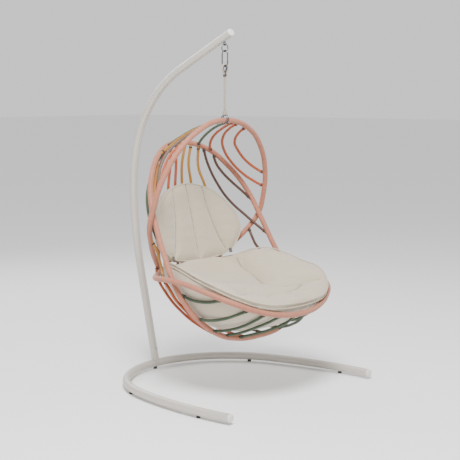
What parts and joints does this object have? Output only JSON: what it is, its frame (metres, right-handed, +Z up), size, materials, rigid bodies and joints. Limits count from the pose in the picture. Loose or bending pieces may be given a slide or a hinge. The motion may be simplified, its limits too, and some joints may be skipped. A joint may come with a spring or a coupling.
{
  "type": "hanging cocoon chair on a curved stand",
  "caption": "Hanging cocoon chair of wound rods and hoops with padded seat and back, hung by rope and carabiner from a curved mast on a C-shaped floor base.",
  "frame": {"origin": "on the floor, under the middle of the outline's box", "axes": "+Z up; the chair opens towards -Y and the mast stands at +Y; +X is the sitter's left"},
  "size_m": [1.3908, 1.4189, 2.1442],
  "materials": {
    "stand_paint": "satin powder coat on steel tube",
    "stand_cap": "satin moulded cap",
    "glide_rubber": "matte",
    "fastener_steel": "zinc plated",
    "link_steel": "polished dark steel",
    "rope_fibre": "braided synthetic rope",
    "binding_cord": "wound dark cord",
    "sleeve_aluminium": "satin",
    "hoop_aluminium": "tube closely wound with salmon cord",
    "cord_rust": "rod closely wound with rust cord",
    "cord_mustard": "rod closely wound with mustard cord",
    "cord_brown": "rod closely wound with brown cord",
    "cord_umber": "rod closely wound with grey-brown cord",
    "cord_green": "rod closely wound with green cord",
    "cushion_fabric": "cream woven outdoor cloth over soft filling",
    "tab_webbing": "matte"
  },
  "bodies": {
    "stand": {"base_tube": "stand_paint", "base_cap_left": "stand_cap", "base_cap_right": "stand_cap", "floor_glides": "glide_rubber", "glide_screws": "fastener_steel", "mast_tube": "stand_paint", "mast_cap": "stand_cap", "mast_spigot": "stand_paint", "mast_bolt": "fastener_steel", "mast_nut": "fastener_steel", "hanger_eye": "link_steel"},
    "ring": {"suspension_ring": "link_steel"},
    "hanger": {"carabiner_body": "link_steel", "gate_pin": "link_steel", "rope_thimble": "link_steel", "rope_eye": "rope_fibre", "rope": "rope_fibre", "rope_whipping": "binding_cord"},
    "gate": {"carabiner_gate": "link_steel"},
    "chair": {"rope_knot": "rope_fibre", "hoop_rings": "link_steel", "front_hoop_left": "hoop_aluminium", "front_hoop_right": "hoop_aluminium", "rear_hoop_left": "hoop_aluminium", "rear_hoop_right": "hoop_aluminium", "seat_rim_left": "hoop_aluminium", "seat_rim_right": "hoop_aluminium", "hoop_sleeves": "sleeve_aluminium", "crossing_screws": "fastener_steel", "crown_rib_short_left": "cord_rust", "crown_rib_short_right": "cord_rust", "crown_rib_middle_left": "cord_rust", "crown_rib_middle_right": "cord_umber", "crown_rib_long_left": "cord_rust", "crown_rib_long_right": "cord_mustard", "crown_rib_rear_left": "cord_green", "crown_rib_rear_right": "cord_green", "waist_rib_left": "cord_brown", "waist_rib_right": "cord_mustard", "shoulder_rib_left": "cord_brown", "shoulder_rib_right": "cord_green", "back_rib_inner_left": "cord_mustard", "back_rib_inner_right": "cord_rust", "back_rib_middle_left": "cord_mustard", "back_rib_middle_right": "cord_rust", "back_rib_outer_left": "cord_mustard", "back_rib_outer_right": "cord_rust", "side_rib_upper_left": "cord_brown", "side_rib_upper_right": "cord_mustard", "side_rib_lower_left": "cord_brown", "side_rib_lower_right": "cord_rust", "keel_ribs_left": "cord_brown", "keel_ribs_right": "cord_rust", "bowl_ribs_left": "cord_green", "bowl_ribs_right": "cord_green", "back_cushion": "cushion_fabric", "seat_cushion": "cushion_fabric", "cushion_tabs": "tab_webbing"}
  },
  "joints": [
    {"name": "ring_swing", "type": "hinge", "parent": "stand", "child": "ring", "pos_m": [0, -0.094, 2.0553], "axis": [1, 0, 0], "range_deg": [-6, 6]},
    {"name": "hanger_sway", "type": "hinge", "parent": "ring", "child": "hanger", "pos_m": [0, -0.094, 2.0186], "axis": [0, 1, 0], "range_deg": [-6, 6]},
    {"name": "gate_hinge", "type": "hinge", "parent": "hanger", "child": "gate", "pos_m": [0, -0.115, 1.9516], "axis": [-1, 0, 0], "range_deg": [0, 20], "stiffness_Nm_per_rad": 0.02, "springref_deg": -11.46},
    {"name": "chair_twist", "type": "hinge", "parent": "hanger", "child": "chair", "pos_m": [0, -0.094, 1.666], "axis": [0, 0, 1], "range_deg": [-60, 60]}
  ]
}
